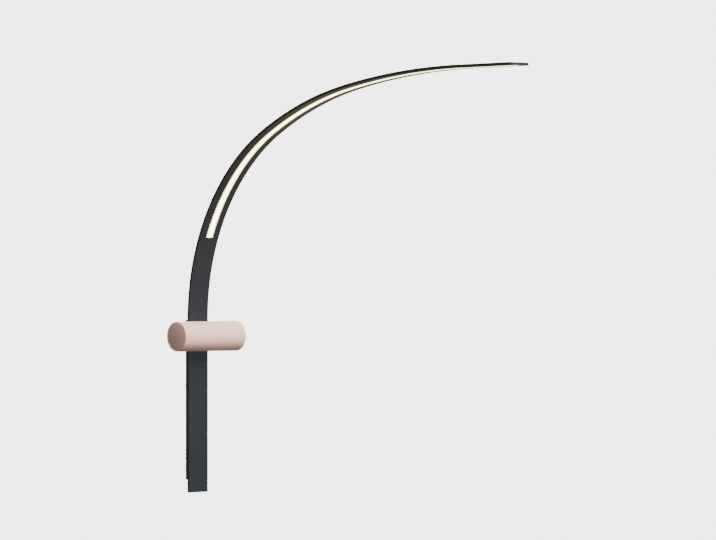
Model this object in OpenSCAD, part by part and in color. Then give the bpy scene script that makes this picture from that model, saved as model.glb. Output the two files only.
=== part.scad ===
// Wall lamp: a flat blade hung on a wall rail rises, bends forward in three
// tangent arcs and carries a light line on its inner face. A round housing
// across the stem holds the driver. X runs along the wall, -Y into the room,
// +Z up. The origin is the middle of the rail's back face, on the wall.

/* [Blade] */
// Width of the blade
blade_w = 40; // [38:0.5:46]
// Thickness of the blade
blade_t = 4.5; // [4.5:0.1:6]
// Chamfer along the blade's four long edges
blade_chamfer = 0.4; // [0.2:0.1:0.6]
// Straight stem, from the foot to the first bend
stem_len = 280; // [279:1:320]
// Inner radius of the first bend
bend1_r = 335; // [300:5:400]
// Turn of the first bend, in degrees
bend1_deg = 62; // [50:0.5:65]
// Inner radius of the second bend
bend2_r = 640; // [500:10:900]
// Turn of the second bend, in degrees
bend2_deg = 17.5; // [10:0.5:20]
// Inner radius of the third bend
bend3_r = 1400; // [1000:50:2000]
// Turn of the third bend, in degrees
bend3_deg = 10.5; // [4:0.5:12]
// Straight tip after the third bend
tip_len = 113; // [60:1:160]
// Thickness of the end plate that closes the tip
tip_cap_t = 2; // [1.5:0.1:3]
// Length of the end plate's tongue in the groove
tongue_len = 8; // [5:0.5:12]

/* [Light line] */
// Path from the foot to the lower end of the light line
light_start = 414.5; // [380:0.5:440]
// Width of the diffuser
diffuser_w = 14.4; // [13:0.1:18]
// Thickness of the diffuser
diffuser_t = 1; // [0.8:0.1:1.2]
// Depth of the diffuser's face below the blade's face
diffuser_sink = 0.1; // [0:0.05:0.3]
// Width of each ledge that the diffuser sits on
ledge_w = 1.8; // [1:0.1:2]
// Depth of the tape pocket below the ledges
pocket_t = 1.2; // [1.1:0.1:1.3]
// Width of the light tape
tape_w = 8; // [6:0.5:8]
// Thickness of the light tape
tape_t = 0.3; // [0.2:0.05:0.4]
// Spacing of the chips along the tape
chip_pitch = 16.6; // [8:0.1:33]
// Length of a chip along the tape
chip_len = 3.5; // [2:0.1:4]
// Width of a chip
chip_w = 2.8; // [2:0.1:4]
// Height of a chip
chip_t = 0.6; // [0.4:0.05:0.7]

/* [Wire channel] */
// Width of the channel in the blade's back
channel_w = 4.2; // [4:0.1:5]
// Depth of the channel below its cover strip
channel_t = 1.5; // [1.4:0.1:1.6]
// Width of the cover strip
cover_w = 8; // [7:0.5:10]
// Thickness of the cover strip
cover_t = 0.6; // [0.4:0.05:0.7]
// Diameter of a feed lead over its insulation
feed_d = 1.2; // [1:0.05:1.3]
// Spacing of the two feed leads
feed_pitch = 2; // [1.6:0.1:2.4]

/* [Wall rail] */
// Width of the rail
rail_w = 36.5; // [34:0.5:38]
// Depth of the rail
rail_t = 6; // [6:0.1:9]
// Length of the rail
rail_len = 258; // [256:0.5:259]
// Distance that the blade's foot hangs below the rail
foot_drop = 20.5; // [15:0.5:20.5]
// Spacing of the two wall screw holes
screw_pitch = 238; // [236:0.5:239]
// Diameter of the wall screw holes
screw_hole_d = 5.2; // [4.5:0.1:5.5]
// Diameter of their countersinks
screw_sink_d = 10; // [9:0.1:10.5]
// Diameter of the rail's cable window
window_d = 20; // [17:0.5:20]
// Wall of the bush that lines the window
bush_wall = 2; // [1:0.1:2.5]

/* [Hanging studs] */
// Height of the upper stud above the rail's middle
stud_top_z = 50; // [30:1:60]
// Depth of the lower stud below the rail's middle
stud_low_z = 85; // [60:1:95]
// Diameter of a stud's shank
stud_d = 4.5; // [4:0.1:5]
// Diameter of a stud's head
stud_head_d = 8.5; // [7.5:0.1:9]
// Thickness of a stud's head
stud_head_t = 2; // [1.5:0.1:2.2]
// Diameter of the stud's peg in the blade
peg_d = 3.6; // [3:0.1:3.8]
// Length of the peg
peg_len = 2.6; // [2:0.1:3]
// Thickness of the rail's lip that the stud hooks behind
lip_t = 2.5; // [2:0.1:2.8]
// Travel from hanging to free
lift = 12; // [10:0.5:14]

/* [Round housing] */
// Height of the housing's axis above the rail's middle
shell_z = 102.5; // [100:0.5:103]
// Diameter of the housing
shell_d = 48; // [48:0.5:56]
// Length of the housing
shell_len = 128; // [127:0.5:150]
// Wall of the housing
shell_wall = 2; // [1.6:0.1:2]
// Depth of each end cap inside the housing
cap_depth = 7; // [6:0.1:7]
// Thickness of the cap's face
cap_face_t = 2.5; // [2:0.1:3]
// Wall of the cap's skirt
cap_skirt = 3.6; // [3.4:0.1:5]
// Thickness of the cap's sealing ring
ring_d = 2; // [1.6:0.1:2]
// Distance of the housing's two screws from its ends
shell_screw_in = 24; // [22:0.5:25]

/* [Chassis] */
// Height of the chassis plate
chassis_h = 18; // [16:0.5:18]
// Thickness of the chassis plate
chassis_t = 3; // [2.5:0.1:3]
// Gap between the chassis ends and the caps
chassis_end_gap = 1; // [0.5:0.1:3]
// Offset of the two chassis screws from the middle
chassis_screw_x = 14; // [13:0.5:15]
// Diameter of the chassis screws
chassis_screw_d = 4; // [3:0.5:4]
// Diameter of the screws that hold the shell, driver and terminals
small_screw_d = 3; // [2.5:0.5:3]
// Outside diameter of the shell screw bosses
boss_d = 7; // [6:0.5:7]
// Distance of the supply hole below the housing's axis
supply_drop = 2.5; // [2:0.1:3]
// Diameter of the supply hole in the blade
supply_hole_d = 8.4; // [7:0.1:8.4]
// Bore of its grommet
supply_bore_d = 6; // [4:0.1:6]
// Diameter of the grommet's flange
grommet_flange_d = 11.5; // [10.5:0.1:12]
// Thickness of the grommet's flange
grommet_flange_t = 1.6; // [1:0.1:2]

/* [Driver] */
// Distance of the driver's far end from the end of the chassis
driver_end_gap = 1; // [0.5:0.1:4]
// Height of the driver case
driver_h = 24; // [20:0.5:24]
// Depth of the driver case with its lid
driver_t = 25; // [20:0.5:26]
// Wall of the driver case
driver_wall = 1.2; // [1:0.1:1.5]
// Distance of the driver's lead end from the middle
driver_x = 8; // [8:0.5:9]
// Thickness of the driver's board
board_t = 1.6; // [1:0.1:2]
// Height of the pads under the board
board_pad = 2; // [2:0.1:3]
// Width of the transformer
transformer_w = 14; // [10:0.5:16]
// Height of the transformer
transformer_t = 12; // [8:0.5:13]
// Diameter of the capacitors
capacitor_d = 8; // [6:0.5:8]
// Gap between the capacitors
capacitor_gap = 3; // [1:0.1:3]
// Length of the capacitors
capacitor_len = 13; // [8:0.5:14]

/* [Terminals] */
// Distance of the terminal block's lead side from the end of the chassis
block_in = 34; // [33:0.5:35]
// Length of the terminal block
block_len = 18; // [17:0.5:20]
// Height of the terminal block
block_h = 18; // [17:0.5:20]
// Depth of the terminal block
block_t = 11; // [10.5:0.1:13]
// Spacing of the three poles
pole_pitch = 5.5; // [5:0.1:5.8]
// Diameter of a pole's wire hole
pole_d = 2.6; // [2.4:0.1:2.8]
// Depth of a pole's wire hole
pole_depth = 8; // [6:0.5:8]
// Diameter of a mains lead over its insulation
lead_d = 2; // [1.6:0.1:2]

/* [Hidden] */

// Clearances: between the hung arm and the rail, round a fixed pin, and of a loose cover
play = 0.3;
fit = 0.05;
slip = 0.1;
// Overshoot of every cut past the face that it opens
over = 1;
// Overlap of the blade's stretches where its cuts change
lap = 0.2;
// Faces of a full turn: bends of the blade, housing, other round pieces, thin leads
bend_faces = 720;
shell_faces = 180;
round_faces = 64;
lead_faces = 24;

paint_grey = "#4a4f55";
paint_blush = "#dccbc2";
steel = "#b9bcc0";
black_plastic = "#26272a";

// Planes parallel to the wall, from the wall out
rail_front = -rail_t;
blade_back = rail_front - play;
blade_front = blade_back - blade_t;
foot_z = -rail_len / 2 - foot_drop;

// The housing's back stops just short of the blade's back face
shell_back_gap = 0.2;
shell_r = shell_d / 2;
bore_r = shell_r - shell_wall;
axis_out = shell_r - blade_t + shell_back_gap;
shell_y = blade_front - axis_out;
chassis_face = blade_front - chassis_t;
chassis_len = shell_len - 2 * (cap_depth + chassis_end_gap);

// The blade's path along its inner face: each run is [start, length, radius, start angle]
function arc_len(r, deg) = r * deg * PI / 180;
run_len = [stem_len, arc_len(bend1_r, bend1_deg), arc_len(bend2_r, bend2_deg),
           arc_len(bend3_r, bend3_deg), tip_len];
run_r = [0, bend1_r, bend2_r, bend3_r, 0];
run_deg = [0, bend1_deg, bend2_deg, bend3_deg, 0];
function run_start(i) = i == 0 ? 0 : run_start(i - 1) + run_len[i - 1];
function run_turn(i) = i == 0 ? 0 : run_turn(i - 1) + run_deg[i - 1];
path_len = run_start(4) + run_len[4];

// Point on the path at distance d into run i, as [y, z], and the tilt there
function tilt_in(i, d) = run_turn(i) + (run_r[i] == 0 ? 0 : d / run_r[i] * 180 / PI);
function step_in(i, d) =
    let (a = run_turn(i), b = tilt_in(i, d), r = run_r[i])
    r == 0 ? [-sin(a) * d, cos(a) * d] : [r * (cos(b) - cos(a)), r * (sin(b) - sin(a))];
function run_point(i) =
    i == 0 ? [blade_front, foot_z] : run_point(i - 1) + step_in(i - 1, run_len[i - 1]);
function run_of(s, i = 0) = i == 4 || s <= run_start(i + 1) ? i : run_of(s, i + 1);

// Light groove, its tape and the chips; the leads come in at the groove's lower end
groove_w = diffuser_w + 2 * slip;
groove_t = diffuser_t + diffuser_sink;
pocket_w = groove_w - 2 * ledge_w;
pocket_floor = groove_t + pocket_t;
light_end = path_len - tip_cap_t;
lead_in = 6;
tape_start = light_start + lead_in + 0.2;
tape_end = light_end - tongue_len - 2;
chip_count = floor((tape_end - tape_start - 2 * chip_len) / chip_pitch) + 1;
// A flat chip stands this far off the bent tape at its middle
chip_lift = 0.02;

// Wire channel and the way of the feed leads into it
channel_floor = blade_t - cover_t - channel_t;
feed_depth = channel_floor + channel_t / 2;
feed_rise = 7;
feed_z = shell_z + feed_rise;
feed_hole_low = 1.5;
feed_hole_high = 2.4;
feed_bend_r = 2;
feed_hand_over = light_start + 0.6;
feed_climb = [1.5, lead_in - 1];
channel_start = feed_z - foot_z + feed_hole_low;
cover_start = channel_start - 6;
cover_end = light_start + lead_in + 3;
// Feed leads lie one behind the other where they leave the driver
feed_layer = 2.2;
feed_near = 3.2;
feed_turn_r = 3;

// Inside the housing
supply_z = shell_z - supply_drop;
boss_gap = 0.6;
boss_top = shell_y + bore_r - boss_gap;
shell_screw_x = shell_len / 2 - shell_screw_in;
shell_screw_sink = 0.25;
shell_screw_head = shell_y + shell_r - shell_screw_sink;
ring_at = cap_depth - ring_d;

// Terminals and the earth point beside them
block_x = chassis_len / 2 - block_in;
pole_near = 2.4;
pole_far = 8;
block_screw_x = block_x + pole_depth + small_screw_d / 2 + 2.5;
block_sink = 3;
lead_seat = 1;
earth_x = block_x - 8;
earth_z = pole_pitch;
lug_t = 0.8;
neck_w = 2;
barrel_d = 3.2;
barrel_len = 5;

// Driver, measured from its lead end; its leads start a little inside
driver_out = chassis_len / 2 - driver_end_gap;
driver_len = driver_out - driver_x;
driver_screw_in = [16, driver_len - 5];
pad_w = 8;
lead_start = 3;
pad_face = chassis_face - driver_wall - board_pad;
board_face = pad_face - board_t;
board_end = driver_x + driver_wall + 4;
transformer_in = driver_len - 17;
capacitor_in = driver_len - 9;

// A countersunk head's radius and a round head's height, as shares of the screw's diameter
sunk_head = 0.92;
round_head = 0.65;

// Turns a shape drawn as depth, path and width so that the path rises in the YZ plane
module on_side() {
    rotate([90, 0, 90]) children();
}

// Moves children to [y, z]: the thousandths first and then the rest, so that runs meet exactly
function thousandth(v) = round(v * 1000) / 1000;
module at_point(p) {
    near = [thousandth(p[0]), thousandth(p[1])];
    translate([0, near[0], near[1]])
        translate([0, p[0] - near[0], p[1] - near[1]])
            children();
}

// Places children at path length s: x is depth behind the inner face, y along the path, z across
module at_path(s) {
    i = run_of(s);
    d = s - run_start(i);
    p = run_point(i) + step_in(i, d);
    at_point(p)
        on_side()
            rotate([0, 0, tilt_in(i, d)])
                children();
}

// Sweeps a flat outline, drawn as depth and width, along the path from s0 to s1
module along_path(s0, s1) {
    for (i = [0 : 4]) {
        a = max(s0 - run_start(i), 0);
        b = min(s1 - run_start(i), run_len[i]);
        p = run_point(i);
        if (b > a) {
            if (run_r[i] == 0)
                at_point(p)
                    on_side()
                        rotate([0, 0, run_turn(i)])
                            translate([0, b, 0])
                                rotate([90, 0, 0])
                                    linear_extrude(b - a)
                                        children();
            else
                at_point(p - run_r[i] * [cos(run_turn(i)), sin(run_turn(i))])
                    on_side()
                        rotate_extrude(start = tilt_in(i, a), angle = tilt_in(i, b) - tilt_in(i, a),
                                       $fn = bend_faces)
                            translate([run_r[i], 0])
                                children();
        }
    }
}

// Flat strip outline between two depths
module strip(f0, f1, w) {
    translate([f0, -w / 2]) square([f1 - f0, w]);
}

// Blade outline with its four chamfered edges
module blade_outline() {
    c = blade_chamfer;
    h = blade_w / 2;
    polygon([[c, -h], [blade_t - c, -h], [blade_t, c - h], [blade_t, h - c],
             [blade_t - c, h], [c, h], [0, h - c], [0, c - h]]);
}

// Stretch of the blade with the light groove, the cover's seat, the wire channel,
// or the opening that joins the channel to the groove
module blade_stretch(s0, s1, groove = false, seat = false, channel = false, open = false) {
    along_path(s0, s1)
        difference() {
            blade_outline();
            if (groove) {
                strip(-over, groove_t, groove_w);
                strip(0, pocket_floor, pocket_w);
            }
            if (seat) strip(blade_t - cover_t, blade_t + over, cover_w + 2 * slip);
            if (channel) strip(channel_floor, blade_t, channel_w);
            if (open) strip(0, blade_t, channel_w);
        }
}

// Cylinder from y = from_y to y = to_y
module rod_y(x, z, from_y, to_y, r, r2 = -1) {
    translate([x, from_y, z])
        rotate([-90, 0, 0])
            cylinder(h = to_y - from_y, r1 = r, r2 = r2 < 0 ? r : r2, $fn = round_faces);
}

// Cylinder along X
module rod_x(y, z, from_x, to_x, r, faces = round_faces) {
    translate([from_x, y, z])
        rotate([0, 90, 0])
            cylinder(h = to_x - from_x, r = r, $fn = faces);
}

// Countersunk screw along Y with its head at y = head_y, pointing into the room
module sunk_screw(x, z, head_y, tip_y, d) {
    head_r = sunk_head * d;
    head_t = head_r - d / 2;
    rod_y(x, z, tip_y, head_y - head_t + fit, d / 2 - fit);
    difference() {
        rod_y(x, z, head_y - head_t, head_y, d / 2 - fit, head_r);
        rod_y(x, z, head_y - head_t / 2, head_y + over, d / 4, d / 4);
    }
}

// Space for such a screw
module sunk_hole(x, z, head_y, tip_y, d) {
    head_r = sunk_head * d + slip;
    head_t = head_r - d / 2;
    rod_y(x, z, tip_y - over, head_y + over, d / 2);
    rod_y(x, z, head_y - head_t, head_y, d / 2, head_r);
    rod_y(x, z, head_y, head_y + over, head_r);
}

// Round-headed screw into the chassis, seated at y = head_y
module round_screw(x, z, head_y) {
    head_t = round_head * small_screw_d;
    rod_y(x, z, head_y - fit, blade_front - slip, small_screw_d / 2 - fit);
    difference() {
        rod_y(x, z, head_y - head_t, head_y, small_screw_d - slip);
        rod_y(x, z, head_y - head_t - over, head_y - head_t / 2, small_screw_d / 3);
    }
}

module wall_rail() {
    color(paint_grey)
    difference() {
        translate([-rail_w / 2, -rail_t, -rail_len / 2]) cube([rail_w, rail_t, rail_len]);
        for (side = [-1, 1]) wall_screw_hole(side * screw_pitch / 2);
        rod_y(0, shell_z, -rail_t - over, over, window_d / 2);
        keyhole(stud_top_z);
        keyhole(-stud_low_z);
    }
}

// Wall screw hole, countersunk from the front
module wall_screw_hole(z) {
    sink_t = (screw_sink_d - screw_hole_d) / 2;
    rod_y(0, z, -rail_t - over, over, screw_hole_d / 2);
    rod_y(0, z, -rail_t, -rail_t + sink_t, screw_sink_d / 2, screw_hole_d / 2);
}

// Round entry above a narrow slot, with room for the stud's head behind the lip
module keyhole(z) {
    entry_r = stud_head_d / 2 + play;
    slot_r = stud_d / 2 + play;
    rod_y(0, z + lift, -rail_t - over, over, entry_r);
    rod_y(0, z, -rail_t - over, over, slot_r);
    translate([-slot_r, -rail_t - over, z]) cube([2 * slot_r, rail_t + 2 * over, lift]);
    rod_y(0, z, -rail_t + lip_t, over, entry_r);
    translate([-entry_r, -rail_t + lip_t, z]) cube([2 * entry_r, rail_t - lip_t + over, lift]);
}

module rail_bush() {
    color(black_plastic)
    difference() {
        rod_y(0, shell_z, -rail_t, 0, window_d / 2 - slip);
        rod_y(0, shell_z, -rail_t - over, over, window_d / 2 - bush_wall);
    }
}

module blade() {
    open_end = light_start + lead_in;
    color(paint_grey)
    difference() {
        union() {
            blade_stretch(0, cover_start - slip);
            blade_stretch(cover_start - slip - lap, channel_start, seat = true);
            blade_stretch(channel_start - lap, light_start, seat = true, channel = true);
            blade_stretch(light_start - lap, open_end + lap, groove = true, seat = true, open = true);
            blade_stretch(open_end, cover_end + slip + lap, groove = true, seat = true);
            blade_stretch(cover_end + slip, light_end, groove = true);
        }
        feed_hole();
        rod_y(0, supply_z, blade_front - over, blade_back + over, supply_hole_d / 2);
        for (side = [-1, 1])
            sunk_hole(side * chassis_screw_x, shell_z, blade_back, blade_front, chassis_screw_d);
        for (z = [stud_top_z, -stud_low_z])
            rod_y(0, z, blade_back - peg_len - slip, blade_back + over, peg_d / 2 + fit);
    }
}

// Opening through which the feed leads reach the channel
module feed_hole() {
    translate([-channel_w / 2, blade_front - over, feed_z - feed_hole_low])
        cube([channel_w, blade_t - cover_t + over, feed_hole_low + feed_hole_high]);
}

module tip_cap() {
    color(paint_grey) {
        along_path(light_end, path_len) blade_outline();
        along_path(light_end - tongue_len, light_end + fit)
            strip(groove_t + fit, pocket_floor - fit, pocket_w - 2 * slip);
    }
}

module diffuser() {
    color("#fffdf2")
    along_path(light_start + slip, light_end) strip(diffuser_sink, groove_t, diffuser_w);
}

module light_tape() {
    color("#f4f1e6")
    along_path(tape_start, tape_end) strip(pocket_floor - tape_t, pocket_floor, tape_w);
}

module light_chips() {
    color("#f2dc8a")
    for (i = [0 : chip_count - 1])
        at_path(tape_start + chip_len + i * chip_pitch)
            translate([pocket_floor - tape_t - chip_lift - chip_t, -chip_len / 2, -chip_w / 2])
                cube([chip_t, chip_len, chip_w]);
}

module channel_cover() {
    color(paint_grey)
    along_path(cover_start, cover_end) strip(blade_t - cover_t, blade_t, cover_w);
}

// Feed lead: out of the driver, through the blade, up the channel and into the groove
module feed_lead(side) {
    x = side * feed_pitch / 2;
    r = feed_d / 2;
    out_y = chassis_face - feed_near - (side > 0 ? feed_layer : 0);
    lead_y = blade_front + feed_depth;
    turn_s = feed_z + feed_bend_r - foot_z;
    rise = feed_climb[0];
    run = feed_climb[1];
    rod_x(out_y, feed_z, -driver_x - lead_start, x - feed_turn_r, r, lead_faces);
    translate([x - feed_turn_r, out_y + feed_turn_r, feed_z])
        rotate([0, 0, -90])
            rotate_extrude(angle = 90, $fn = round_faces)
                translate([feed_turn_r, 0])
                    circle(r = r, $fn = lead_faces);
    rod_y(x, feed_z, out_y + feed_turn_r, lead_y - feed_bend_r, r);
    translate([x, lead_y - feed_bend_r, feed_z + feed_bend_r])
        on_side()
            rotate([0, 0, -90])
                rotate_extrude(angle = 90, $fn = round_faces)
                    translate([feed_bend_r, 0])
                        circle(r = r, $fn = lead_faces);
    along_path(turn_s, feed_hand_over)
        translate([feed_depth, x])
            circle(r = r, $fn = lead_faces);
    at_path(feed_hand_over)
        translate([feed_depth, 0, x])
            rotate([0, 0, atan(rise / run)])
                translate([0, -lap, 0])
                    rotate([-90, 0, 0])
                        cylinder(h = norm([rise, run]), r = r, $fn = lead_faces);
}

module feed_lead_plus() {
    color("#b3261e") feed_lead(1);
}

module feed_lead_minus() {
    color("#1b1b1d") feed_lead(-1);
}

module hanging_studs() {
    color(steel)
    for (z = [stud_top_z, -stud_low_z]) {
        neck = -rail_t + lip_t + play;
        rod_y(0, z, blade_back - peg_len, blade_back + fit, peg_d / 2);
        rod_y(0, z, blade_back, neck + fit, stud_d / 2);
        rod_y(0, z, neck, neck + stud_head_t, stud_head_d / 2);
    }
}

module supply_grommet() {
    color(black_plastic)
    difference() {
        union() {
            rod_y(0, supply_z, blade_front - fit, blade_back - slip, supply_hole_d / 2 - fit);
            rod_y(0, supply_z, blade_front - grommet_flange_t, blade_front, grommet_flange_d / 2);
        }
        rod_y(0, supply_z, blade_front - grommet_flange_t - over, blade_back + over, supply_bore_d / 2);
    }
}

module housing_shell() {
    color(paint_blush)
    difference() {
        rod_x(shell_y, shell_z, -shell_len / 2, shell_len / 2, shell_r, shell_faces);
        rod_x(shell_y, shell_z, -shell_len / 2 - over, shell_len / 2 + over, bore_r, shell_faces);
        translate([-blade_w / 2 - play, blade_front, shell_z - shell_r])
            cube([blade_w + 2 * play, blade_t + over, shell_d]);
        for (side = [-1, 1])
            sunk_hole(side * shell_screw_x, shell_z, shell_screw_head, shell_y + bore_r, small_screw_d);
    }
}

// End cap: a face flush with the shell's end and a skirt with a ring groove
module cap(side) {
    end = side * shell_len / 2;
    cap_r = bore_r - slip;
    groove_r = bore_r - ring_d - fit;
    groove_half = ring_d / 2 + slip;
    color(paint_blush)
    translate([end, shell_y, shell_z])
        rotate([0, -side * 90, 0])
            rotate_extrude($fn = shell_faces)
                polygon([[0, 0], [cap_r, 0], [cap_r, ring_at - groove_half],
                         [groove_r, ring_at - groove_half], [groove_r, ring_at + groove_half],
                         [cap_r, ring_at + groove_half], [cap_r, cap_depth],
                         [cap_r - cap_skirt, cap_depth], [cap_r - cap_skirt, cap_face_t],
                         [0, cap_face_t]]);
}

module cap_left() {
    cap(-1);
}

module cap_right() {
    cap(1);
}

module cap_rings() {
    color(black_plastic)
    for (side = [-1, 1])
        translate([side * (shell_len / 2 - ring_at), shell_y, shell_z])
            rotate([0, 90, 0])
                rotate_extrude($fn = shell_faces)
                    translate([bore_r - ring_d / 2 - fit / 2, 0])
                        circle(d = ring_d - fit, $fn = lead_faces);
}

module chassis() {
    color(steel)
    difference() {
        union() {
            translate([-chassis_len / 2, chassis_face, shell_z - chassis_h / 2])
                cube([chassis_len, chassis_t, chassis_h]);
            for (side = [-1, 1])
                rod_y(side * shell_screw_x, shell_z, blade_front - fit, boss_top, boss_d / 2);
        }
        rod_y(0, supply_z, chassis_face - over, blade_front + over, grommet_flange_d / 2 + slip);
        translate([-channel_w / 2, chassis_face - over, feed_z - feed_hole_low])
            cube([channel_w, chassis_t + 2 * over, chassis_h]);
        for (side = [-1, 1])
            rod_y(side * chassis_screw_x, shell_z, chassis_face - over, blade_front + over,
                  chassis_screw_d / 2);
        for (side = [-1, 1])
            rod_y(side * shell_screw_x, shell_z, chassis_face - over, boss_top + over,
                  small_screw_d / 2);
        for (d = driver_screw_in)
            sunk_hole(-driver_x - d, shell_z, blade_front, chassis_face, small_screw_d);
        rod_y(block_screw_x, shell_z, chassis_face - over, blade_front + over, small_screw_d / 2);
        rod_y(earth_x, shell_z + earth_z, chassis_face - over, blade_front + over,
              small_screw_d / 2);
    }
}

module chassis_screws() {
    color(steel)
    for (side = [-1, 1])
        sunk_screw(side * chassis_screw_x, shell_z, blade_back - slip, chassis_face + slip,
                   chassis_screw_d);
}

module shell_screws() {
    color(steel)
    for (side = [-1, 1])
        sunk_screw(side * shell_screw_x, shell_z, shell_screw_head - slip, chassis_face + slip,
                   small_screw_d);
}

// Open box whose mouth faces the room, with two pads under the board and four lead holes
module driver_case() {
    in_len = driver_len - 2 * driver_wall;
    in_h = driver_h - 2 * driver_wall;
    case_t = driver_t - driver_wall;
    color("#e8e8e6")
    difference() {
        translate([-driver_out, chassis_face - case_t, shell_z - driver_h / 2])
            cube([driver_len, case_t, driver_h]);
        difference() {
            translate([-driver_out + driver_wall, chassis_face - case_t - over, shell_z - in_h / 2])
                cube([in_len, case_t - driver_wall + over, in_h]);
            for (d = driver_screw_in)
                translate([-driver_x - d - pad_w / 2, pad_face, shell_z - in_h / 2])
                    cube([pad_w, board_pad + over, in_h]);
        }
        for (d = driver_screw_in)
            rod_y(-driver_x - d, shell_z, pad_face - over, chassis_face + over, small_screw_d / 2);
        for (z = [0, -pole_pitch])
            rod_x(chassis_face - pole_far, shell_z + z, -driver_x - driver_wall - over,
                  -driver_x + over, lead_d / 2 + slip);
        for (layer = [0, feed_layer])
            rod_x(chassis_face - feed_near - layer, feed_z, -driver_x - driver_wall - over,
                  -driver_x + over, feed_d / 2 + slip, lead_faces);
    }
}

// Lid with a lip inside the case's mouth
module driver_lid() {
    inset = driver_wall + slip;
    color("#e8e8e6")
    translate([-driver_out, chassis_face - driver_t, shell_z - driver_h / 2]) {
        cube([driver_len, driver_wall, driver_h]);
        translate([inset, 0, inset])
            cube([driver_len - 2 * inset, 2 * driver_wall, driver_h - 2 * inset]);
    }
}

module driver_board() {
    board_h = driver_h - 2 * (driver_wall + play);
    color("#2f6b3c")
    translate([driver_wall + play - driver_out, board_face, shell_z - board_h / 2])
        cube([driver_out - driver_wall - play - board_end, board_t, board_h]);
}

module driver_transformer() {
    color("#d8b23a")
    translate([-driver_x - transformer_in, board_face - transformer_t, shell_z - transformer_w / 2])
        cube([transformer_w, transformer_t, transformer_w]);
}

module driver_capacitors() {
    color("#2b3350")
    for (z = [-1, 1])
        rod_y(-driver_x - capacitor_in, shell_z + z * (capacitor_d + capacitor_gap) / 2,
              board_face - capacitor_len, board_face, capacitor_d / 2);
}

module driver_screws() {
    color(steel)
    for (d = driver_screw_in)
        sunk_screw(-driver_x - d, shell_z, blade_front - slip, pad_face + slip, small_screw_d);
}

module terminal_block() {
    color("#f0eee8")
    difference() {
        translate([block_x, chassis_face - block_t, shell_z - block_h / 2])
            cube([block_len, block_t, block_h]);
        for (z = [-1 : 1])
            for (y = [pole_near, pole_far])
                rod_x(chassis_face - y, shell_z + z * pole_pitch, block_x - over,
                      block_x + pole_depth, pole_d / 2);
        rod_y(block_screw_x, shell_z, chassis_face - block_t - over, chassis_face + over,
              small_screw_d / 2 + fit);
        rod_y(block_screw_x, shell_z, chassis_face - block_t - over,
              chassis_face - block_t + block_sink, small_screw_d + slip);
    }
}

module terminal_screw() {
    color(steel) round_screw(block_screw_x, shell_z, chassis_face - block_t + block_sink);
}

// Straight mains lead from a pole of the block to the driver
module mains_lead(z) {
    rod_x(chassis_face - pole_far, shell_z + z, -driver_x - lead_start,
          block_x + pole_depth - lead_seat, lead_d / 2, lead_faces);
}

module live_lead() {
    color("#7a4a2a") mains_lead(-pole_pitch);
}

module neutral_lead() {
    color("#3b6fc4") mains_lead(0);
}

module earth_lead() {
    color("#5f9b3f")
    rod_x(chassis_face - pole_near, shell_z + earth_z, earth_x + small_screw_d + barrel_len / 2,
          block_x + pole_depth - lead_seat, lead_d / 2, lead_faces);
}

// Ring and barrel that fasten the earth lead under its screw
module earth_lug() {
    barrel_from = earth_x + small_screw_d;
    color("#c8b27a")
    difference() {
        union() {
            rod_y(earth_x, shell_z + earth_z, chassis_face - lug_t, chassis_face, small_screw_d);
            rod_x(chassis_face - pole_near, shell_z + earth_z, barrel_from,
                  barrel_from + barrel_len, barrel_d / 2);
            translate([barrel_from - 1, chassis_face - lug_t, shell_z + earth_z - neck_w / 2])
                cube([2, lug_t, neck_w]);
            translate([barrel_from, chassis_face - pole_near, shell_z + earth_z - neck_w / 2])
                cube([1, pole_near, neck_w]);
        }
        rod_y(earth_x, shell_z + earth_z, chassis_face - 2 * lug_t, chassis_face + over,
              small_screw_d / 2 + fit);
        rod_x(chassis_face - pole_near, shell_z + earth_z, barrel_from + 1,
              barrel_from + barrel_len + over, lead_d / 2 + fit);
    }
}

module earth_screw() {
    color(steel) round_screw(earth_x, shell_z + earth_z, chassis_face - lug_t);
}

wall_rail();
rail_bush();
blade();
tip_cap();
diffuser();
light_tape();
light_chips();
channel_cover();
feed_lead_plus();
feed_lead_minus();
hanging_studs();
supply_grommet();
housing_shell();
cap_left();
cap_right();
cap_rings();
chassis();
chassis_screws();
shell_screws();
driver_case();
driver_lid();
driver_board();
driver_transformer();
driver_capacitors();
driver_screws();
terminal_block();
terminal_screw();
live_lead();
neutral_lead();
earth_lead();
earth_lug();
earth_screw();
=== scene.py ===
import math

import bmesh
import bpy
from mathutils import Matrix, Vector


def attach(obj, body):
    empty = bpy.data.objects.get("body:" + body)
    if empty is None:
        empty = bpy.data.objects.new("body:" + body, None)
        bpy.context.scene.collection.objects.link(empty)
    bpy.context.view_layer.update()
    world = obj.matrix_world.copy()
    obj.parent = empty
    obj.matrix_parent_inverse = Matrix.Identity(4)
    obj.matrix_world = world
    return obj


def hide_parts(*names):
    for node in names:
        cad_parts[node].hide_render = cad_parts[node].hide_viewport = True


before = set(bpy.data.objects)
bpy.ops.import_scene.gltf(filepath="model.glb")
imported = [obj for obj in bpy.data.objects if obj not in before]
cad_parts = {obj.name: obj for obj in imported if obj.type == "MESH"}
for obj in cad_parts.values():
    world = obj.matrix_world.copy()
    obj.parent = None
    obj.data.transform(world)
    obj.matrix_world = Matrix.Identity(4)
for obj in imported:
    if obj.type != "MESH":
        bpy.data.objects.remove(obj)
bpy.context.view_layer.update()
mm = 0.001
acrossWall = Vector((1, 0, 0))
upward = Vector((0, 0, 1))
weldGap = 0.001 * mm  # points nearer than this are one point
cutOver = 1 * mm  # how far a cutter runs past the metal
cloudDetail = 3.0  # octaves in a slow drift of tone


def linearColour(hexText):
    # sRGB hex to the linear values that the shaders expect
    parts = [int(hexText[i:i + 2], 16) / 255 for i in (1, 3, 5)]
    linear = [c / 12.92 if c <= 0.04045 else ((c + 0.055) / 1.055) ** 2.4 for c in parts]
    return linear + [1.0]


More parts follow.
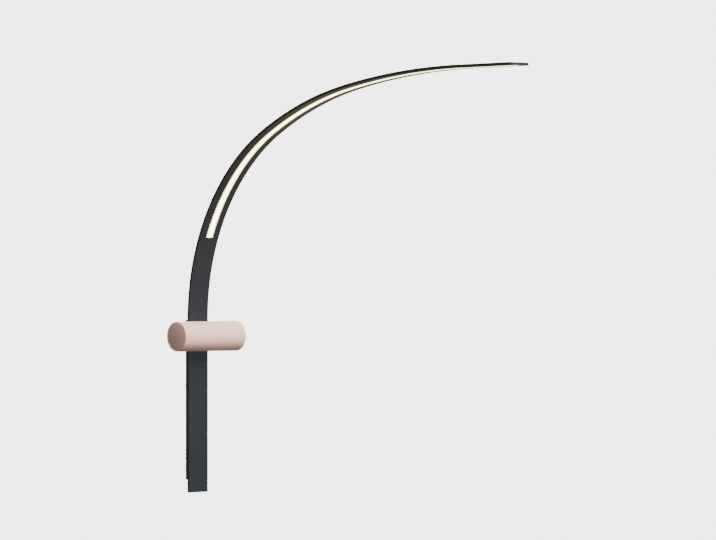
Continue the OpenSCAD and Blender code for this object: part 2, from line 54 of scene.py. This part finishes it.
def addNode(tree, kind, inputs, **settings):
    # inputs may be numbers, colours or sockets to link from
    node = tree.nodes.new(kind)
    for name, value in settings.items():
        setattr(node, name, value)
    for name, value in inputs.items():
        if isinstance(value, bpy.types.NodeSocket):
            tree.links.new(value, node.inputs[name])
        else:
            node.inputs[name].default_value = value
    return node


def startMaterial(name):
    material = bpy.data.materials.new(name)
    material.use_nodes = True
    material.node_tree.nodes.clear()
    return material, material.node_tree


def shadeRange(tree, factor, darkHex, lightHex):
    # blends two near tones by a noise, whose values mostly lie between 0.3 and 0.7
    ramp = addNode(tree, "ShaderNodeValToRGB", {"Fac": factor})
    for stop, position, tone in zip(ramp.color_ramp.elements, (0.3, 0.7), (darkHex, lightHex)):
        stop.position = position
        stop.color = linearColour(tone)
    return ramp.outputs["Color"]


def roughnessAround(tree, pattern, roughness, spread):
    # the gloss wanders with the pattern, by the spread to either side
    gloss = addNode(tree, "ShaderNodeMapRange",
                    {"Value": pattern, "To Min": roughness - spread, "To Max": roughness + spread})
    return gloss.outputs["Result"]


def coatMaterial(name, look):
    # a sprayed or baked coat: a fine relief, and a slow drift between two near tones
    material, tree = startMaterial(name)
    place = addNode(tree, "ShaderNodeTexCoord", {}).outputs["Object"]
    relief = addNode(tree, "ShaderNodeTexNoise",
                     {"Vector": place, "Scale": 1 / look["relief"], "Detail": look["detail"]})
    cloud = addNode(tree, "ShaderNodeTexNoise",
                    {"Vector": place, "Scale": 1 / look["cloud"], "Detail": cloudDetail})
    bump = addNode(tree, "ShaderNodeBump",
                   {"Height": relief.outputs["Fac"], "Strength": look["bumpShare"],
                    "Distance": look["bump"]})
    tone = shadeRange(tree, cloud.outputs["Fac"], look["dark"], look["light"])
    gloss = roughnessAround(tree, relief.outputs["Fac"], look["roughness"], look["spread"])
    coat = addNode(tree, "ShaderNodeBsdfPrincipled",
                   {"Base Color": tone, "Roughness": gloss, "IOR": look["ior"],
                    "Normal": bump.outputs["Normal"]})
    addNode(tree, "ShaderNodeOutputMaterial", {"Surface": coat.outputs["BSDF"]})
    return material


def powderCoat():
    # fine-texture polyester powder coat, baked on steel: a dry slate grey with a soft
    # broad highlight and a grain that breaks it up at close range
    look = {"dark": "#1b222a", "light": "#1e252d", "roughness": 0.4, "spread": 0.06, "ior": 1.5,
            "relief": 0.9 * mm, "detail": 2.0, "bumpShare": 0.35, "bump": 0.12 * mm,
            "cloud": 90 * mm}
    # the real grain is about 0.3 mm, drawn at 0.9 mm so that it shows in a close view
    return coatMaterial("slatePowderCoat", look)


def blushLacquer():
    # wet lacquer sprayed on an aluminium tube: even, satin, with a faint orange peel
    look = {"dark": "#ecc6b4", "light": "#efcab8", "roughness": 0.46, "spread": 0.04, "ior": 1.48,
            "relief": 2.2 * mm, "detail": 1.0, "bumpShare": 0.3, "bump": 0.06 * mm,
            "cloud": 60 * mm}
    return coatMaterial("blushLacquer", look)


def opalAcrylic():
    # extruded opal acrylic, lit from behind: one even warm white with no bright spots,
    # under a smooth and slightly glossy skin
    look = {"skin": "#f4f1e8", "roughness": 0.35, "ior": 1.49, "glowLow": "#fff1b0",
            "glowHigh": "#fff4ba", "glowEdge": "#2b2820", "cloud": 40 * mm,
            "evenHalf": 3.2 * mm, "halfWidth": 6.2 * mm, "strength": 9.0, "farStrength": 4.5,
            "dropStart": -200 * mm, "dropEnd": -740 * mm}
    material, tree = startMaterial("opalAcrylic")
    place = addNode(tree, "ShaderNodeTexCoord", {}).outputs["Object"]
    cloud = addNode(tree, "ShaderNodeTexNoise",
                    {"Vector": place, "Scale": 1 / look["cloud"], "Detail": 1.0})
    even = shadeRange(tree, cloud.outputs["Fac"], look["glowLow"], look["glowHigh"])
    # over the ledges less light gets through, so the strip dims towards its two edges
    spot = addNode(tree, "ShaderNodeSeparateXYZ", {"Vector": place})
    offCentre = addNode(tree, "ShaderNodeMath", {0: spot.outputs["X"]}, operation="ABSOLUTE")
    fade = addNode(tree, "ShaderNodeMapRange",
                   {"Value": offCentre.outputs["Value"], "From Min": look["evenHalf"],
                    "From Max": look["halfWidth"]}, interpolation_type="SMOOTHSTEP")
    glow = addNode(tree, "ShaderNodeMix", {"Factor": fade.outputs["Result"], "A": even,
                                           "B": linearColour(look["glowEdge"])},
                   data_type="RGBA").outputs["Result"]
    # the tape's voltage sinks along the blade, so the far end glows a little less
    strength = addNode(tree, "ShaderNodeMapRange",
                       {"Value": spot.outputs["Y"], "From Min": look["dropStart"],
                        "From Max": look["dropEnd"], "To Min": look["strength"],
                        "To Max": look["farStrength"]})
    skin = addNode(tree, "ShaderNodeBsdfPrincipled",
                   {"Base Color": linearColour(look["skin"]), "Roughness": look["roughness"],
                    "IOR": look["ior"], "Emission Color": glow,
                    "Emission Strength": strength.outputs["Result"]})
    addNode(tree, "ShaderNodeOutputMaterial", {"Surface": skin.outputs["BSDF"]})
    return material


def speckled(name, darkHex, lightHex, grain, roughness, metallic=0.0, ior=1.5, bumpDepth=0.0):
    # small inner parts: two near tones in a grain of the given size
    look = {"bumpShare": 0.3, "spread": 0.05}
    material, tree = startMaterial(name)
    place = addNode(tree, "ShaderNodeTexCoord", {}).outputs["Object"]
    noise = addNode(tree, "ShaderNodeTexNoise",
                    {"Vector": place, "Scale": 1 / grain, "Detail": cloudDetail}).outputs["Fac"]
    bump = addNode(tree, "ShaderNodeBump",
                   {"Height": noise, "Strength": look["bumpShare"], "Distance": bumpDepth})
    skin = addNode(tree, "ShaderNodeBsdfPrincipled",
                   {"Base Color": shadeRange(tree, noise, darkHex, lightHex),
                    "Roughness": roughnessAround(tree, noise, roughness, look["spread"]),
                    "Metallic": metallic, "IOR": ior, "Normal": bump.outputs["Normal"]})
    addNode(tree, "ShaderNodeOutputMaterial", {"Surface": skin.outputs["BSDF"]})
    return material


slateCoat = powderCoat()
blushCoat = blushLacquer()
opal = opalAcrylic()
# zinc-plated steel: cold bluish grey with the cloudy spangle of the bath
zincSteel = speckled("zincPlatedSteel", "#9da3aa", "#b9bec4", 3 * mm, 0.34, metallic=1.0)
# moulded EPDM rubber: near black and matt
blackRubber = speckled("mouldedRubber", "#17171a", "#1e1e21", 1 * mm, 0.72, ior=1.52,
                       bumpDepth=0.03 * mm)
print("materials ready")


def finishPiece(name, bm, material, body, replaced):
    bmesh.ops.remove_doubles(bm, verts=bm.verts, dist=weldGap)
    bmesh.ops.recalc_face_normals(bm, faces=bm.faces)
    dressPiece(plainObject(name, bm), material, body, replaced)


def plainObject(name, bm):
    mesh = bpy.data.meshes.new(name)
    bm.to_mesh(mesh)
    bm.free()
    piece = bpy.data.objects.new(name, mesh)
    bpy.context.scene.collection.objects.link(piece)
    return piece


def dressPiece(piece, material, body, replaced, sharpAngle=35):
    piece.data.materials.clear()
    piece.data.materials.append(material)
    piece.data.shade_smooth()
    piece.data.set_sharp_from_angle(angle=math.radians(sharpAngle))
    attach(piece, body)
    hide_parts(*replaced)


def cutAway(piece, cutters):
    # takes each cutter out of the piece and removes the cutter
    for cutter in cutters:
        step = piece.modifiers.new("cut", "BOOLEAN")
        step.operation = "DIFFERENCE"
        step.solver = "EXACT"
        step.object = cutter
        depsgraph = bpy.context.evaluated_depsgraph_get()
        result = bpy.data.meshes.new_from_object(piece.evaluated_get(depsgraph))
        piece.modifiers.clear()
        piece.data = result
        bpy.data.objects.remove(cutter)
    bm = bmesh.new()
    bm.from_mesh(piece.data)
    bmesh.ops.remove_doubles(bm, verts=bm.verts, dist=weldGap)  # points that the cuts doubled
    bm.to_mesh(piece.data)
    bm.free()


def shadeAsRound(piece, centre, axis, radius):
    # a cut leaves points inside a facet, so the tube's skin gets the shading of a true cylinder
    limits = {"offSkin": 0.01 * mm, "leastMatch": 0.9}
    mesh = piece.data
    shading = [corner.vector.copy() for corner in mesh.corner_normals]
    for face in mesh.polygons:
        for corner in face.loop_indices:
            fromCentre = mesh.vertices[mesh.loops[corner].vertex_index].co - centre
            outward = fromCentre - fromCentre.dot(axis) * axis
            onSkin = abs(outward.length - radius) < limits["offSkin"]
            if onSkin and face.normal.dot(outward.normalized()) > limits["leastMatch"]:
                shading[corner] = outward.normalized()
    mesh.normals_split_custom_set(shading)


def flatOutline(bm, corners, roundBy, rounded, segments):
    # one face from its corners, given as x and y, with some corners or all of them rounded
    face = bm.faces.new([bm.verts.new((x, y, 0)) for x, y in corners])
    picked = [v for i, v in enumerate(face.verts) if rounded is None or i in rounded]
    bmesh.ops.bevel(bm, geom=picked, offset=roundBy, offset_type="OFFSET", segments=segments,
                    profile=0.5, affect="VERTICES", material=-1)
    return list(bm.faces)[0]


def boxCutter(low, high):
    bm = bmesh.new()
    size = Vector(high) - Vector(low)
    bmesh.ops.create_cube(bm, size=1)
    bmesh.ops.scale(bm, vec=size, verts=bm.verts)
    bmesh.ops.translate(bm, vec=(Vector(high) + Vector(low)) / 2, verts=bm.verts)
    return plainObject("cutter", bm)


def rodCutter(x, z, fromY, toY, radius, endRadius=None, slotLength=0.0, segments=64):
    # cone or cylinder along Y, or a round-ended slot that runs up from the given height
    bm = bmesh.new()
    bmesh.ops.create_cone(bm, cap_ends=True, segments=segments, radius1=radius,
                          radius2=radius if endRadius is None else endRadius, depth=toY - fromY)
    # half a step round its axis, so that no point lies where a slot's two halves part
    halfStep = Matrix.Rotation(math.pi / segments, 3, "Z")
    alongY = Matrix.Rotation(math.radians(-90), 3, "X")
    bmesh.ops.rotate(bm, cent=(0, 0, 0), matrix=alongY @ halfStep, verts=bm.verts)
    upperHalf = [v for v in bm.verts if v.co.z > 0]
    bmesh.ops.translate(bm, vec=(0, 0, slotLength), verts=upperHalf)
    bmesh.ops.translate(bm, vec=(x, (fromY + toY) / 2, z), verts=bm.verts)
    return plainObject("cutter", bm)


def lathe(corners, centre, axis, roundBy, rounded, steps):
    # spins an outline, given as distance along the axis and radius, once round the axis
    bm = bmesh.new()
    face = flatOutline(bm, corners, roundBy, rounded, segments=3)
    turn = Matrix((upward, axis, upward.cross(axis))).transposed()
    for v in face.verts:
        v.co = centre + turn @ Vector((v.co.y, v.co.x, 0))
    bmesh.ops.delete(bm, geom=[face], context="FACES_ONLY")
    onAxis = [e for e in bm.edges
              if all((v.co - centre).cross(axis).length < weldGap for v in e.verts)]
    bmesh.ops.delete(bm, geom=onAxis, context="EDGES")
    bmesh.ops.spin(bm, geom=list(bm.edges) + list(bm.verts), cent=centre, axis=axis,
                   angle=math.tau, steps=steps, use_merge=True, use_duplicate=False)
    return bm


# each bend is its inner radius and its turn in degrees, and facet is the turn of one step
bladeSizes = {
    "front": -10.8 * mm, "foot": -149.5 * mm, "width": 40 * mm, "thick": 4.5 * mm,
    "edge": 0.4 * mm, "stem": 280 * mm, "tip": 113 * mm,
    "bends": [(335 * mm, 62), (640 * mm, 17.5), (1400 * mm, 10.5)],
    "facet": 0.5, "supplyZ": 100 * mm, "supplyRadius": 4.2 * mm,
}
capSizes = {"thick": 2 * mm, "seam": 0.05 * mm}
grooveSizes = {"start": 414.5 * mm, "width": 14.6 * mm, "depth": 1.1 * mm, "ledge": 1.8 * mm,
               "pocket": 1.2 * mm}
channelSizes = {"start": 254.4 * mm, "end": 423.6 * mm, "seatWidth": 8.2 * mm,
                "seatDepth": 0.6 * mm, "width": 4.2 * mm, "depth": 1.5 * mm}

bladeRuns = [(bladeSizes["stem"], 0)]
bladeRuns += [(radius * math.radians(turn), radius) for radius, turn in bladeSizes["bends"]]
bladeRuns += [(bladeSizes["tip"], 0)]
runEnds = [sum(length for length, radius in bladeRuns[:i + 1]) for i in range(len(bladeRuns))]
pathLength = runEnds[-1]
lightEnd = pathLength - capSizes["thick"]


def placeAt(distance):
    # frame on the blade's inner face: X across, Y into the blade, Z up the path
    place = Matrix.Translation((0, bladeSizes["front"], bladeSizes["foot"]))
    for length, radius in bladeRuns:
        step = min(distance, length)
        distance -= step
        if radius:
            centre = Matrix.Translation((0, -radius, 0))
            place = place @ centre @ Matrix.Rotation(step / radius, 4, "X") @ centre.inverted()
        else:
            place = place @ Matrix.Translation((0, 0, step))
        if distance <= 0:
            break
    return place


def radiusAt(distance):
    for length, radius in bladeRuns:
        if distance < length:
            return radius
        distance -= length
    return 0


def sweepPath(corners, fromPath, toPath, roundBy, rounded=None, stops=()):
    # carries an outline, given as x and depth, along the path as a closed solid, with an
    # edge loop at each stop
    bm = bmesh.new()
    face = flatOutline(bm, corners, roundBy, rounded, segments=4)
    bmesh.ops.transform(bm, matrix=placeAt(fromPath), verts=bm.verts)
    front = list(face.edges)
    between = {mark for mark in (*runEnds, *stops) if fromPath < mark < toPath}
    marks = sorted(between | {fromPath, toPath})
    for a, b in zip(marks, marks[1:]):
        place = placeAt(a)
        radius = radiusAt((a + b) / 2)
        if radius:
            turn = (b - a) / radius
            steps = max(1, round(math.degrees(turn) / bladeSizes["facet"]))
            made = bmesh.ops.spin(bm, geom=front, cent=place @ Vector((0, -radius, 0)),
                                  axis=acrossWall, angle=turn, steps=steps, use_duplicate=False)
            front = [e for e in made["geom_last"] if isinstance(e, bmesh.types.BMEdge)]
        else:
            made = bmesh.ops.extrude_edge_only(bm, edges=front)
            verts = [v for v in made["geom"] if isinstance(v, bmesh.types.BMVert)]
            front = [e for e in made["geom"] if isinstance(e, bmesh.types.BMEdge)
                     and e.is_boundary and all(v in verts for v in e.verts)]
            bmesh.ops.translate(bm, vec=place.to_3x3() @ upward * (b - a), verts=verts)
    bmesh.ops.contextual_create(bm, geom=front)
    bmesh.ops.recalc_face_normals(bm, faces=bm.faces)
    return bm


def facesBetween(bm, halfWidth, fromPath, toPath):
    # the faces of one lengthwise strip between two places on the path
    low, high = placeAt(fromPath), placeAt(toPath)
    found = []
    for face in bm.faces:
        onStrip = all(abs(abs(v.co.x) - halfWidth) < weldGap for v in face.verts)
        centre = face.calc_center_median()
        above = (centre - low.translation).dot(low.to_3x3() @ upward) > 0
        below = (centre - high.translation).dot(high.to_3x3() @ upward) < 0
        if onStrip and above and below:
            found.append(face)
    return found


def sink(bm, faces, inset, depth):
    # insets the strip and lowers it into the metal
    bmesh.ops.inset_region(bm, faces=faces, use_boundary=True, use_even_offset=True,
                           thickness=inset, depth=-depth)


def stripCorners(width, nearDepth, farDepth):
    half = width / 2
    return [(-half, nearDepth), (half, nearDepth), (half, farDepth), (-half, farDepth)]


def makeBlade():
    s, g, c = bladeSizes, grooveSizes, channelSizes
    half, grooveHalf, seatHalf = s["width"] / 2, g["width"] / 2, c["seatWidth"] / 2
    corners = [(-half, 0), (-grooveHalf, 0), (grooveHalf, 0), (half, 0),
               (half, s["thick"]), (seatHalf, s["thick"]), (-seatHalf, s["thick"]),
               (-half, s["thick"])]
    bm = sweepPath(corners, 0, lightEnd, s["edge"], rounded=(0, 3, 4, 7),
                   stops=(c["start"], g["start"], c["end"]))
    bar = plainObject("bladeBar", bm)
    cutAway(bar, [rodCutter(0, s["supplyZ"], s["front"] - cutOver,
                            s["front"] + s["thick"] + cutOver, s["supplyRadius"])])
    bm = bmesh.new()
    bm.from_mesh(bar.data)
    # light groove: recess for the strip, then two ledges, then the tape pocket
    groove = facesBetween(bm, grooveHalf, g["start"], lightEnd + cutOver)
    sink(bm, groove, 0, g["depth"])
    sink(bm, groove, g["ledge"], 0)
    sink(bm, groove, 0, g["pocket"])
    # back: seat of the cover strip, then the wire channel
    seat = facesBetween(bm, seatHalf, c["start"], c["end"])
    sink(bm, seat, 0, c["seatDepth"])
    sink(bm, seat, seatHalf - c["width"] / 2, 0)
    sink(bm, seat, 0, c["depth"])
    bm.to_mesh(bar.data)
    bm.free()
    dressPiece(bar, slateCoat, "arm", ["blade"])


makeBlade()

tipCap = sweepPath(stripCorners(bladeSizes["width"], 0, bladeSizes["thick"]),
                   lightEnd + capSizes["seam"], pathLength, bladeSizes["edge"])
finishPiece("tipCap", tipCap, slateCoat, "arm", ["tip_cap"])

# lies flush in its seat in the blade's back
coverSizes = {"play": 0.1 * mm, "edge": 0.1 * mm}
coverCorners = stripCorners(channelSizes["seatWidth"] - 2 * coverSizes["play"],
                            bladeSizes["thick"] - channelSizes["seatDepth"], bladeSizes["thick"])
coverStrip = sweepPath(coverCorners, channelSizes["start"] + coverSizes["play"],
                       channelSizes["end"] - coverSizes["play"], coverSizes["edge"],
                       rounded=(2, 3))
finishPiece("channelCoverStrip", coverStrip, slateCoat, "arm", ["channel_cover"])
print("blade ready")


# lies on the groove's ledges, a hair below the blade's face
lightSizes = {"play": 0.1 * mm, "sink": 0.1 * mm, "edge": 0.2 * mm}
lightCorners = stripCorners(grooveSizes["width"] - 2 * lightSizes["play"], lightSizes["sink"],
                            grooveSizes["depth"])
lightStrip = sweepPath(lightCorners, grooveSizes["start"] + lightSizes["play"], lightEnd,
                       lightSizes["edge"], rounded=(0, 1))
finishPiece("opalStrip", lightStrip, opal, "arm", ["diffuser"])
print("light line ready")


# height and depth place the tube's axis, and its two screws sit in the back at screwX
housingSizes = {"height": 102.5 * mm, "depth": -30.5 * mm, "radius": 24 * mm, "wall": 2 * mm,
                "half": 64 * mm, "rim": 0.9 * mm, "notchPlay": 0.3 * mm, "screwX": 40 * mm,
                "screwSink": 0.25 * mm, "screwCone": 1.36 * mm, "screwHole": 1.5 * mm,
                "screwHead": 2.86 * mm, "overlap": 0.05 * mm, "steps": 160}
discSizes = {"seam": 0.1 * mm, "edge": 0.6 * mm, "depth": 7 * mm, "face": 2.5 * mm,
             "skirt": 3.6 * mm, "steps": 128}
housingCentre = Vector((0, housingSizes["depth"], housingSizes["height"]))


def makeHousing():
    h = housingSizes
    bore = h["radius"] - h["wall"]
    wall = [(-h["half"], bore), (-h["half"], h["radius"]), (h["half"], h["radius"]),
            (h["half"], bore)]
    bm = lathe(wall, housingCentre, acrossWall, h["rim"], rounded=(1, 2), steps=h["steps"])
    bmesh.ops.recalc_face_normals(bm, faces=bm.faces)
    tube = plainObject("housingTube", bm)
    # the blade passes through a notch in the back
    notch = bladeSizes["width"] / 2 + h["notchPlay"]
    cutters = [boxCutter((-notch, bladeSizes["front"], h["height"] - h["radius"]),
                         (notch, 0, h["height"] + h["radius"]))]
    headY = h["depth"] + h["radius"] - h["screwSink"]
    for x in (-h["screwX"], h["screwX"]):
        cutters.append(rodCutter(x, h["height"], headY - h["screwCone"], headY,
                                 h["screwHole"], h["screwHead"]))
        cutters.append(rodCutter(x, h["height"], headY - h["overlap"], headY + 2 * cutOver,
                                 h["screwHead"]))
    cutAway(tube, cutters)
    dressPiece(tube, blushCoat, "arm", ["housing_shell"])
    shadeAsRound(tube, housingCentre, acrossWall, h["radius"])


def makeEndDisc(side, name, node):
    h, d = housingSizes, discSizes
    outer = h["radius"] - h["wall"] - d["seam"]
    inner = outer - d["skirt"]
    end = housingCentre + side * h["half"] * acrossWall
    cup = [(0, 0), (0, outer), (d["depth"], outer), (d["depth"], inner), (d["face"], inner),
           (d["face"], 0)]
    bm = lathe(cup, end, -side * acrossWall, d["edge"], rounded=(1,), steps=d["steps"])
    finishPiece(name, bm, blushCoat, "arm", [node])


makeHousing()
makeEndDisc(-1, "endDiscLeft", "cap_left")
makeEndDisc(1, "endDiscRight", "cap_right")
print("housing ready")


# screwZ and studZ are heights from the rail's middle, and lift is the way up out of a keyhole
railSizes = {"width": 36.5 * mm, "depth": 6 * mm, "length": 258 * mm, "edge": 0.35 * mm,
             "screwZ": 119 * mm, "studZ": (50 * mm, -85 * mm), "lift": 12 * mm,
             "entry": 4.55 * mm, "slot": 2.55 * mm, "lip": 2.5 * mm, "step": 0.05 * mm,
             "window": 10 * mm, "screwHole": 2.6 * mm, "screwHead": 5 * mm,
             "sinkStart": 0.1 * mm, "sinkEnd": 2.5 * mm, "sharpAngle": 12}


def makeRail():
    r = railSizes
    front = -r["depth"] - cutOver
    bm = bmesh.new()
    bmesh.ops.create_cube(bm, size=1)
    bmesh.ops.scale(bm, vec=(r["width"], r["depth"], r["length"]), verts=bm.verts)
    bmesh.ops.translate(bm, vec=(0, -r["depth"] / 2, 0), verts=bm.verts)
    bmesh.ops.bevel(bm, geom=list(bm.edges), offset=r["edge"], offset_type="OFFSET", segments=3,
                    profile=0.5, affect="EDGES", material=-1)
    rail = plainObject("wallRailBar", bm)
    cutters = [rodCutter(0, housingSizes["height"], front, cutOver, r["window"])]
    for z in (-r["screwZ"], r["screwZ"]):
        cutters.append(rodCutter(0, z, front, cutOver, r["screwHole"]))
        cutters.append(rodCutter(0, z, -r["depth"] - r["sinkStart"], r["sinkEnd"] - r["depth"],
                                 r["screwHead"] + r["sinkStart"], r["screwHead"] - r["sinkEnd"]))
    # keyholes: room for the stud's head behind the lip, a slot for its shank, a way in on top
    behind = r["lip"] - r["depth"]
    for z in r["studZ"]:
        cutters.append(rodCutter(0, z, behind, cutOver, r["entry"], slotLength=r["lift"]))
        cutters.append(rodCutter(0, z, front, behind + cutOver, r["slot"], slotLength=r["lift"]))
        cutters.append(rodCutter(0, z + r["lift"], front, behind + cutOver,
                                 r["entry"] - r["step"]))
    cutAway(rail, cutters)
    # a low sharp angle keeps the flat faces flat beside the fine rounding
    dressPiece(rail, slateCoat, "rail", ["wall_rail"], r["sharpAngle"])


makeRail()
print("rail ready")


innerLooks = {
    "rail_bush": blackRubber, "supply_grommet": blackRubber, "cap_rings": blackRubber,
    "chassis": zincSteel, "chassis_screws": zincSteel, "shell_screws": zincSteel,
    "driver_screws": zincSteel, "terminal_screw": zincSteel, "earth_screw": zincSteel,
    "hanging_studs": zincSteel,
    # tinned brass
    "earth_lug": speckled("tinnedBrass", "#b9a878", "#cbbb8c", 2 * mm, 0.3, metallic=1.0),
    # white solder mask on the flexible tape
    "light_tape": speckled("whiteSolderMask", "#e9e6dc", "#f3f0e6", 2 * mm, 0.5),
    # silicone gel with phosphor over the chips
    "light_chips": speckled("phosphorGel", "#e9cf7a", "#f3dd93", 0.5 * mm, 0.35),
    # polycarbonate driver case, fine spark-eroded finish
    "driver_case": speckled("greyPolycarbonate", "#dcdcd8", "#e8e8e4", 0.8 * mm, 0.5,
                            bumpDepth=0.02 * mm),
    # glass-epoxy board under green solder mask
    "driver_board": speckled("greenSolderMask", "#24582f", "#2f6b3c", 1.5 * mm, 0.35),
    # polyester winding tape
    "driver_transformer": speckled("windingTape", "#c9a52e", "#dcbb48", 4 * mm, 0.4),
    # shrink sleeve on the capacitors
    "driver_capacitors": speckled("capacitorSleeve", "#252c46", "#303a5c", 3 * mm, 0.3),
    # polyamide terminal block
    "terminal_block": speckled("naturalPolyamide", "#e6e3da", "#f0ede5", 1 * mm, 0.45),
    # PVC lead insulation
    "feed_lead_plus": speckled("redInsulation", "#a3211a", "#b82c24", 1 * mm, 0.4),
    "feed_lead_minus": speckled("blackInsulation", "#17171a", "#202024", 1 * mm, 0.4),
    "live_lead": speckled("brownInsulation", "#6b3f23", "#7d4c2c", 1 * mm, 0.4),
    "neutral_lead": speckled("blueInsulation", "#305fb0", "#3d70c8", 1 * mm, 0.4),
    "earth_lead": speckled("greenInsulation", "#4d8433", "#62a043", 1 * mm, 0.4),
}
innerLooks["driver_lid"] = innerLooks["driver_case"]
for nodeName, material in innerLooks.items():
    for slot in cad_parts[nodeName].material_slots:
        slot.material = material
print("inner parts dressed")


# azimuth 0 stands in front of the lamp, on the room side; sizes in metres, power in watts
studioTarget = Vector((0, -0.3, 0.2))
studioLights = {
    "keySoftbox": {"azimuth": 5, "elevation": 46, "distance": 3.0, "size": 1.8, "power": 166,
                   "colour": "#ffefea", "shadow": True},
    # the key's share that comes round the housing, so that the stem beneath isn't black
    "keyDiffuser": {"azimuth": 5, "elevation": 46, "distance": 3.0, "size": 1.8, "power": 188,
                    "colour": "#ffefea", "shadow": False},
    "sideFill": {"azimuth": -30, "elevation": 0, "distance": 3.0, "size": 2.0, "power": 13,
                 "colour": "#f4ffe4", "shadow": True},
    "lowFill": {"azimuth": 0, "elevation": -50, "distance": 2.0, "size": 2.0, "power": 3,
                "colour": "#f4f4e6", "shadow": True},
    "backFill": {"azimuth": 165, "elevation": 25, "distance": 3.0, "size": 2.0, "power": 150,
                 "colour": "#ffffff", "shadow": True},
}


def areaLight(name, setting):
    a, e = math.radians(setting["azimuth"]), math.radians(setting["elevation"])
    away = Vector((math.sin(a) * math.cos(e), -math.cos(a) * math.cos(e), math.sin(e)))
    data = bpy.data.lights.new(name, "AREA")
    data.size = setting["size"]
    data.energy = setting["power"]
    data.color = linearColour(setting["colour"])[:3]
    data.use_shadow = setting["shadow"]
    light = bpy.data.objects.new(name, data)
    light.location = studioTarget + away * setting["distance"]
    light.rotation_euler = (-away).to_track_quat("-Z", "Y").to_euler()
    bpy.context.scene.collection.objects.link(light)


for lightName, setting in studioLights.items():
    areaLight(lightName, setting)

floorSizes = {"half": 13.0, "centre": (0, -0.4, -1.5), "paint": "#e6e5e3", "roughness": 0.8,
              "glow": "#fffefc", "strength": 4.15}


def makeFloor():
    f = floorSizes
    bm = bmesh.new()
    bmesh.ops.create_grid(bm, x_segments=1, y_segments=1, size=f["half"])
    bmesh.ops.translate(bm, vec=f["centre"], verts=bm.verts)
    floor = plainObject("studioFloor", bm)
    material, tree = startMaterial("paleFloorPaint")
    # its glow makes it as light as the air behind, so that no edge shows
    skin = addNode(tree, "ShaderNodeBsdfPrincipled",
                   {"Base Color": linearColour(f["paint"]), "Roughness": f["roughness"],
                    "Emission Color": linearColour(f["glow"]), "Emission Strength": f["strength"]})
    # seen from beneath, the floor is left clear so that it doesn't hide the lamp
    side = addNode(tree, "ShaderNodeNewGeometry", {})
    clear = addNode(tree, "ShaderNodeBsdfTransparent", {})
    mix = addNode(tree, "ShaderNodeMixShader", {0: side.outputs["Backfacing"],
                                                1: skin.outputs["BSDF"], 2: clear.outputs["BSDF"]})
    addNode(tree, "ShaderNodeOutputMaterial", {"Surface": mix.outputs["Shader"]})
    floor.data.materials.append(material)
    floor.visible_diffuse = False  # throws no light up, so the undersides stay in shade
    floor.visible_glossy = False


makeFloor()

airLooks = {"dim": ("#f4f6fa", 0.17), "warm": ("#ffecc4", 0.6), "white": ("#ffffff", 4.4),
            "warmFrom": 0.1, "warmFull": -0.3}


def makeAir():
    # the camera sees white, and the lamp gets a dimmer surround, with a warm floor in its sheen
    world = bpy.data.worlds.new("studioAir")
    bpy.context.scene.world = world
    world.use_nodes = True
    tree = world.node_tree
    tree.nodes.clear()
    backgrounds = {}
    for name in ("dim", "warm", "white"):
        tone, strength = airLooks[name]
        node = addNode(tree, "ShaderNodeBackground",
                       {"Color": linearColour(tone), "Strength": strength})
        backgrounds[name] = node.outputs["Background"]
    rays = addNode(tree, "ShaderNodeLightPath", {})
    direction = addNode(tree, "ShaderNodeTexCoord", {}).outputs["Generated"]
    height = addNode(tree, "ShaderNodeSeparateXYZ", {"Vector": direction})
    below = addNode(tree, "ShaderNodeMapRange",
                    {"Value": height.outputs["Z"], "From Min": airLooks["warmFrom"],
                     "From Max": airLooks["warmFull"]})
    inSheen = addNode(tree, "ShaderNodeMath", {0: below.outputs["Result"],
                                               1: rays.outputs["Is Glossy Ray"]},
                      operation="MULTIPLY")
    surround = addNode(tree, "ShaderNodeMixShader",
                       {0: inSheen.outputs["Value"], 1: backgrounds["dim"],
                        2: backgrounds["warm"]})
    air = addNode(tree, "ShaderNodeMixShader",
                  {0: rays.outputs["Is Camera Ray"], 1: surround.outputs["Shader"],
                   2: backgrounds["white"]})
    addNode(tree, "ShaderNodeOutputWorld", {"Surface": air.outputs["Shader"]})


makeAir()

# the photograph's viewpoint, at lamp height and 43 degrees to the left of the front
cameraPlace = {"location": (-4.4776, -5.1951, 0.20925), "heading": -42.97, "sensor": 36,
               "lens": 213.2, "farthest": 50}
camera = bpy.data.objects.new("photoCamera", bpy.data.cameras.new("photoCamera"))
camera.location = cameraPlace["location"]
camera.rotation_euler = (math.radians(90), 0, math.radians(cameraPlace["heading"]))
camera.data.sensor_width = cameraPlace["sensor"]
camera.data.lens = cameraPlace["lens"]
camera.data.clip_end = cameraPlace["farthest"]
bpy.context.scene.collection.objects.link(camera)
bpy.context.scene.camera = camera
print("studio ready")
